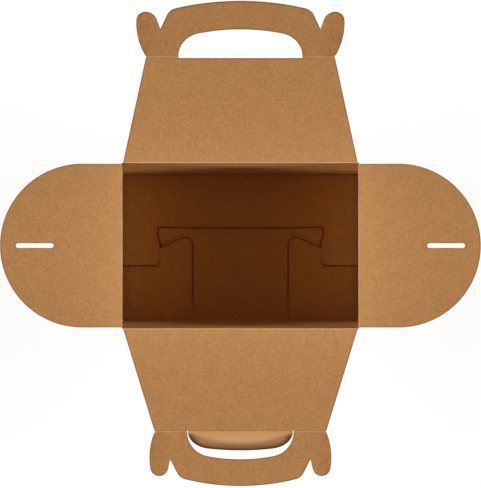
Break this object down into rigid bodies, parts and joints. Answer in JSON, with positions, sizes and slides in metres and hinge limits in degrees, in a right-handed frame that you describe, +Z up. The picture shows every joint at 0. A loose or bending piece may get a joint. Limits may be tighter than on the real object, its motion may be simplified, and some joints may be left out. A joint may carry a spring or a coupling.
{
  "type": "gable box",
  "caption": "Open gable box of plain brown kraft board with leaning ends, lock bottom, roof flaps with hand-hole handles and ears, and round slotted end flaps.",
  "frame": {"origin": "middle of the base, on the surface the box stands on", "axes": "+Z up, +X along the long front to the right, +Y from the front to the back"},
  "size_m": [0.4616, 0.4247, 0.1689],
  "materials": {
    "kraft_board": "uncoated matt kraft board",
    "kraft_handle": "uncoated matt kraft board",
    "kraft_thumb": "uncoated matt kraft board"
  },
  "bodies": {
    "box": {"box_body": "kraft_board"},
    "back_roof": {"back_roof_panel": "kraft_board"},
    "back_grip": {"back_handle": "kraft_handle"},
    "front_roof": {"front_roof_panel": "kraft_board"},
    "front_grip": {"front_handle": "kraft_handle"},
    "thumb": {"thumb_flap": "kraft_thumb"},
    "left_end": {"left_end_flap": "kraft_board"},
    "right_end": {"right_end_flap": "kraft_board"}
  },
  "joints": [
    {"name": "back_roof_fold", "type": "hinge", "parent": "box", "child": "back_roof", "pos_m": [0, 0.08, 0.076], "axis": [1, 0, 0], "range_deg": [-47, 111]},
    {"name": "back_handle_fold", "type": "hinge", "parent": "back_roof", "child": "back_grip", "pos_m": [0, 0.16396, 0.12846], "axis": [-1, 0, 0], "range_deg": [-25, 73.5]},
    {"name": "front_roof_fold", "type": "hinge", "parent": "box", "child": "front_roof", "pos_m": [0, -0.08, 0.076], "axis": [-1, 0, 0], "range_deg": [-15.5, 142.5]},
    {"name": "front_handle_fold", "type": "hinge", "parent": "front_roof", "child": "front_grip", "pos_m": [0, -0.179, 0.07686], "axis": [1, 0, 0], "range_deg": [-25, 57.5]},
    {"name": "thumb_flap_fold", "type": "hinge", "parent": "front_roof", "child": "thumb", "pos_m": [0, -0.179, 0.07686], "axis": [-1, 0, 0], "range_deg": [-56, 34]},
    {"name": "left_end_fold", "type": "hinge", "parent": "box", "child": "left_end", "pos_m": [-0.1143, 0, 0.076], "axis": [0, 1, 0], "range_deg": [-16, 116.5]},
    {"name": "right_end_fold", "type": "hinge", "parent": "box", "child": "right_end", "pos_m": [0.1143, 0, 0.076], "axis": [0, -1, 0], "range_deg": [-16, 116.5]}
  ]
}
